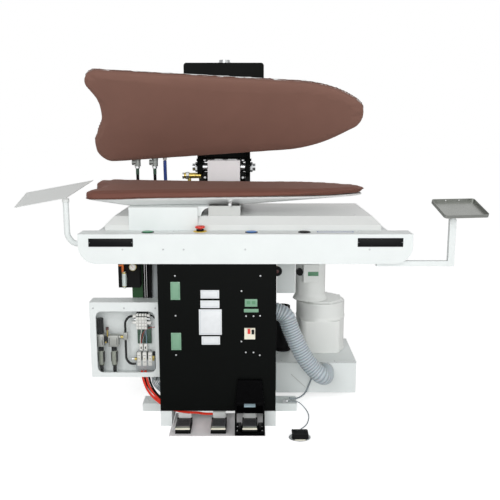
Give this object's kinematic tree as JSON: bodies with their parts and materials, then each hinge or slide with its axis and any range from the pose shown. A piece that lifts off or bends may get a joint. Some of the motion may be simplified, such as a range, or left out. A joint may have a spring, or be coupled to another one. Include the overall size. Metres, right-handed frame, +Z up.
{
  "type": "legger press",
  "caption": "Air operated trouser legger press with a padded buck and hinged head, vacuum blower, ribbed hose, valve box, pedals, foot switch and two side trays.",
  "frame": {"origin": "on the floor, at the centre of the four anchor holes in the cross sills", "axes": "+X to the operator's right along the buck, +Y to the back of the machine, +Z up"},
  "size_m": [1.9673, 1.036, 1.631],
  "materials": {
    "white_paint": "semi-gloss white enamel",
    "grey_paint": "light grey enamel",
    "black_paint": "black enamel",
    "green_paint": "dark green enamel",
    "pale_plate": "bare printed plates",
    "cast_hull": "painted casting",
    "brown_cover": "stretched brown cover",
    "steel": "machined steel",
    "stainless": "brushed stainless",
    "screw_steel": "zinc plated",
    "cream": "cream plastic",
    "red_plastic": "red plastic",
    "black_plastic": "black plastic",
    "green_plastic": "green plastic",
    "blue_plastic": "blue plastic",
    "black_rubber": "black rubber",
    "red_hose": "red hose",
    "grey_hose": "translucent grey hose",
    "window": "clear sheet",
    "valve_grey": "die cast",
    "brass": "brass",
    "black_matte": "matt black",
    "white_plastic": "light plastic"
  },
  "bodies": {
    "frame": {"base_frame": "white_paint", "body_frame": "green_paint", "hinge_column": "black_paint", "front_panel": "black_paint", "cover_screws": "screw_steel", "panel_plates": "pale_plate", "starter_case": "cream", "table_fascia": "white_paint", "table_slab": "white_paint", "table_hood": "grey_paint", "pedestal_cover": "white_paint", "buck_column": "white_paint", "buck_pan": "cast_hull", "buck_pad": "brown_cover", "rear_cover": "black_paint", "hinge_cover": "white_paint", "cylinder_barrel": "steel", "head_hoses": "black_rubber", "steam_fittings": "brass", "relay_box": "black_matte", "wiring_duct": "white_plastic", "valve_box_case": "white_paint", "valve_box_window": "window", "air_filters": "valve_grey", "air_valves": "valve_grey", "air_tubes": "black_rubber", "pedal_hoses": "red_hose", "pedal_plate": "white_paint", "pedal_bases": "black_paint", "foot_guard": "black_paint", "foot_switch_base": "cream", "foot_switch_cable": "grey_hose", "cable_glands": "black_plastic", "vacuum_box": "white_paint", "exhaust_pipe": "black_matte", "blower_housing": "cast_hull", "blower_motor": "cast_hull", "vacuum_hose": "grey_hose", "button_bezels": "black_plastic", "tray_arms": "white_paint"},
    "head": {"head_pad": "brown_cover", "head_chest": "cast_hull", "head_yoke": "black_paint", "pivot_shaft": "steel"},
    "air_rod": {"cylinder_rod": "steel"},
    "start_push": {"green_button": "green_plastic"},
    "stop_push": {"stop_button": "red_plastic"},
    "blue_push": {"blue_button": "blue_plastic"},
    "black_push": {"black_button": "black_plastic"},
    "starter_stop_key": {"starter_stop": "red_plastic"},
    "starter_start_key": {"starter_start": "black_plastic"},
    "pressure_knob": {"regulator_knob": "black_plastic"},
    "blower_wheel": {"impeller": "valve_grey"},
    "pedal_left": {"left_pedal": "cream"},
    "pedal_middle": {"middle_pedal": "cream"},
    "pedal_right": {"right_pedal": "cream"},
    "switch_treadle": {"foot_switch_treadle": "black_plastic"},
    "tray_left": {"left_tray": "grey_paint"},
    "tray_right": {"right_tray": "stainless"},
    "valve_wheel": {"side_knob": "black_plastic"}
  },
  "joints": [
    {"name": "head_hinge", "type": "hinge", "parent": "frame", "child": "head", "pos_m": [0.009, 0.251, 1.095], "axis": [1, 0, 0], "range_deg": [0, 56], "deforming": ["head_hoses"]},
    {"name": "air_rod_slide", "type": "slide", "parent": "frame", "child": "air_rod", "axis": [0, 0, 1], "range_m": [0, 0.16002]},
    {"name": "start_button_push", "type": "slide", "parent": "frame", "child": "start_push", "axis": [0, 0, -1], "range_m": [0, 0.003], "stiffness_N_per_m": 900, "springref_m": -0.003},
    {"name": "blue_button_push", "type": "slide", "parent": "frame", "child": "blue_push", "axis": [0, 0, -1], "range_m": [0, 0.003], "stiffness_N_per_m": 900, "springref_m": -0.003},
    {"name": "black_button_push", "type": "slide", "parent": "frame", "child": "black_push", "axis": [0, 0, -1], "range_m": [0, 0.003], "stiffness_N_per_m": 900, "springref_m": -0.003},
    {"name": "stop_button_push", "type": "slide", "parent": "frame", "child": "stop_push", "axis": [0, 0, -1], "range_m": [0, 0.004], "stiffness_N_per_m": 1200, "springref_m": -0.003},
    {"name": "starter_stop_push", "type": "slide", "parent": "frame", "child": "starter_stop_key", "axis": [0, 1, 0], "range_m": [0, 0.002], "stiffness_N_per_m": 800, "springref_m": -0.002},
    {"name": "starter_start_push", "type": "slide", "parent": "frame", "child": "starter_start_key", "axis": [0, 1, 0], "range_m": [0, 0.002], "stiffness_N_per_m": 800, "springref_m": -0.002},
    {"name": "pressure_knob_turn", "type": "hinge", "parent": "frame", "child": "pressure_knob", "pos_m": [-0.527, -0.285, 0.43], "axis": [0, 0, 1], "range_deg": [-170, 170]},
    {"name": "blower_wheel_spin", "type": "hinge", "parent": "frame", "child": "blower_wheel", "pos_m": [0.442, 0.122, 0.34], "axis": [0, 0, 1], "continuous": true},
    {"name": "left_pedal_press", "type": "hinge", "parent": "frame", "child": "pedal_left", "pos_m": [-0.148, -0.379, 0.022], "axis": [1, 0, 0], "range_deg": [0, 5], "stiffness_Nm_per_rad": 20, "springref_deg": -5.73},
    {"name": "middle_pedal_press", "type": "hinge", "parent": "frame", "child": "pedal_middle", "pos_m": [0.004, -0.379, 0.022], "axis": [1, 0, 0], "range_deg": [0, 5], "stiffness_Nm_per_rad": 20, "springref_deg": -5.73},
    {"name": "right_pedal_press", "type": "hinge", "parent": "frame", "child": "pedal_right", "pos_m": [0.139, -0.379, 0.022], "axis": [1, 0, 0], "range_deg": [0, 5], "stiffness_Nm_per_rad": 20, "springref_deg": -5.73},
    {"name": "switch_treadle_press", "type": "hinge", "parent": "frame", "child": "switch_treadle", "pos_m": [0.351, -0.483, 0.019], "axis": [1, 0, 0], "range_deg": [0, 5], "stiffness_Nm_per_rad": 3, "springref_deg": -5.73},
    {"name": "left_tray_swivel", "type": "hinge", "parent": "frame", "child": "tray_left", "pos_m": [-0.637, -0.345, 0.985], "axis": [0, 0, 1], "range_deg": [0, 60]},
    {"name": "right_tray_swivel", "type": "hinge", "parent": "frame", "child": "tray_right", "pos_m": [0.986, -0.386, 0.925], "axis": [0, 0, 1], "range_deg": [-45, 45]},
    {"name": "valve_wheel_turn", "type": "hinge", "parent": "frame", "child": "valve_wheel", "pos_m": [0.262, -0.206, 0.657], "axis": [0, 1, 0], "range_deg": [-170, 170]}
  ],
  "couplings": [
    {"joint": "air_rod_slide", "follows": "head_hinge", "m_per_rad": 0.16331}
  ]
}
